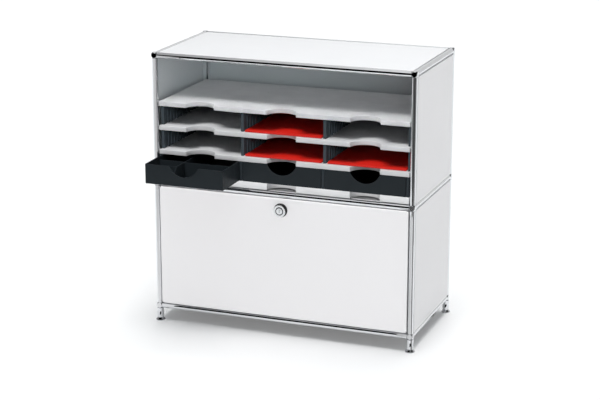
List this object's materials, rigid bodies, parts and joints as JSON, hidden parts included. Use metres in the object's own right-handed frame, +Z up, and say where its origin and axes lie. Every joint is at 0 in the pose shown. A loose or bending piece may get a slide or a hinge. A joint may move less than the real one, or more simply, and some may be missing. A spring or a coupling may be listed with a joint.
{
  "type": "tube-frame cabinet with letter sorter and drawers",
  "caption": "Steel-tube office cabinet with a drop flap below and, in the open bay above, a letter sorter with shallow drawers, one standing open, and slide-in boards.",
  "frame": {"origin": "on the floor, under the middle of the box that holds the whole object with its left drawer standing open", "axes": "+X to the right along the front, +Y to the back, +Z up"},
  "size_m": [0.778, 0.482, 0.7812],
  "materials": {
    "chrome": "polished chrome plating on steel tube and turned balls",
    "lock_chrome": "satin chrome plating",
    "white_paint": "smooth white powder coat on folded steel sheet",
    "light_grey_plastic": "light grey moulded polystyrene, fine texture",
    "charcoal_plastic": "charcoal moulded polystyrene, fine texture",
    "red_plastic": "red moulded plastic, satin",
    "zinc_steel": "zinc-plated steel",
    "rubber": "soft black rubber"
  },
  "bodies": {
    "cabinet": {"bottom_connector_balls": "chrome", "bottom_front_rail": "chrome", "bottom_left_rail": "chrome", "bottom_panel": "white_paint", "bottom_rear_rail": "chrome", "bottom_right_rail": "chrome", "flap_hinge_pins": "zinc_steel", "foot_sleeves": "chrome", "lower_back_panel": "white_paint", "lower_front_left_post": "chrome", "lower_front_right_post": "chrome", "lower_left_panel": "white_paint", "lower_rear_posts": "chrome", "lower_right_panel": "white_paint", "middle_connector_balls": "chrome", "middle_front_rail": "chrome", "middle_left_rail": "chrome", "middle_rear_rail": "chrome", "middle_right_rail": "chrome", "shelf_panel": "white_paint", "sorter_back_walls": "charcoal_plastic", "sorter_base": "light_grey_plastic", "sorter_dowels": "zinc_steel", "sorter_drawer_row_walls": "charcoal_plastic", "sorter_lower_row_walls": "charcoal_plastic", "sorter_lower_shelf": "light_grey_plastic", "sorter_pads": "rubber", "sorter_top": "light_grey_plastic", "sorter_upper_row_walls": "charcoal_plastic", "sorter_upper_shelf": "light_grey_plastic", "stay_guides": "zinc_steel", "top_connector_balls": "chrome", "top_front_rail": "chrome", "top_left_rail": "chrome", "top_panel": "white_paint", "top_rear_rail": "chrome", "top_right_rail": "chrome", "upper_back_panel": "white_paint", "upper_front_left_post": "chrome", "upper_front_right_post": "chrome", "upper_left_panel": "white_paint", "upper_rear_posts": "chrome", "upper_right_panel": "white_paint"},
    "left_drawer": {"left_drawer": "charcoal_plastic", "organiser_tray": "charcoal_plastic"},
    "centre_drawer": {"centre_drawer": "charcoal_plastic"},
    "right_drawer": {"right_drawer": "charcoal_plastic"},
    "upper_centre_board": {"upper_centre_board": "red_plastic"},
    "lower_centre_board": {"lower_centre_board": "red_plastic"},
    "lower_right_board": {"lower_right_board": "red_plastic"},
    "flap": {"flap_panel": "white_paint", "flap_stays": "zinc_steel", "lock_rosette": "lock_chrome", "lock_nut": "zinc_steel"},
    "lock": {"lock_cylinder": "lock_chrome", "lock_cam": "zinc_steel"},
    "front_left_foot": {"front_left_foot": "chrome"},
    "front_right_foot": {"front_right_foot": "chrome"},
    "rear_left_foot": {"rear_left_foot": "chrome"},
    "rear_right_foot": {"rear_right_foot": "chrome"}
  },
  "joints": [
    {"name": "left_drawer_slide", "type": "slide", "parent": "cabinet", "child": "left_drawer", "axis": [0, -1, 0], "range_m": [-0.115, 0.125]},
    {"name": "centre_drawer_slide", "type": "slide", "parent": "cabinet", "child": "centre_drawer", "axis": [0, -1, 0], "range_m": [0, 0.24]},
    {"name": "right_drawer_slide", "type": "slide", "parent": "cabinet", "child": "right_drawer", "axis": [0, -1, 0], "range_m": [0, 0.24]},
    {"name": "upper_centre_board_slide", "type": "slide", "parent": "cabinet", "child": "upper_centre_board", "axis": [0, -1, 0], "range_m": [0, 0.24]},
    {"name": "lower_centre_board_slide", "type": "slide", "parent": "cabinet", "child": "lower_centre_board", "axis": [0, -1, 0], "range_m": [0, 0.24]},
    {"name": "lower_right_board_slide", "type": "slide", "parent": "cabinet", "child": "lower_right_board", "axis": [0, -1, 0], "range_m": [0, 0.24]},
    {"name": "flap_hinge", "type": "hinge", "parent": "cabinet", "child": "flap", "pos_m": [0, -0.127, 0.0572], "axis": [1, 0, 0], "range_deg": [0, 90]},
    {"name": "lock_turn", "type": "hinge", "parent": "flap", "child": "lock", "pos_m": [0, -0.1302, 0.367], "axis": [0, -1, 0], "range_deg": [0, 90]},
    {"name": "front_left_foot_turn", "type": "hinge", "parent": "cabinet", "child": "front_left_foot", "pos_m": [-0.375, -0.123, 0], "axis": [0, 0, 1], "continuous": true},
    {"name": "front_right_foot_turn", "type": "hinge", "parent": "cabinet", "child": "front_right_foot", "pos_m": [0.375, -0.123, 0], "axis": [0, 0, 1], "continuous": true},
    {"name": "rear_left_foot_turn", "type": "hinge", "parent": "cabinet", "child": "rear_left_foot", "pos_m": [-0.375, 0.227, 0], "axis": [0, 0, 1], "continuous": true},
    {"name": "rear_right_foot_turn", "type": "hinge", "parent": "cabinet", "child": "rear_right_foot", "pos_m": [0.375, 0.227, 0], "axis": [0, 0, 1], "continuous": true}
  ]
}
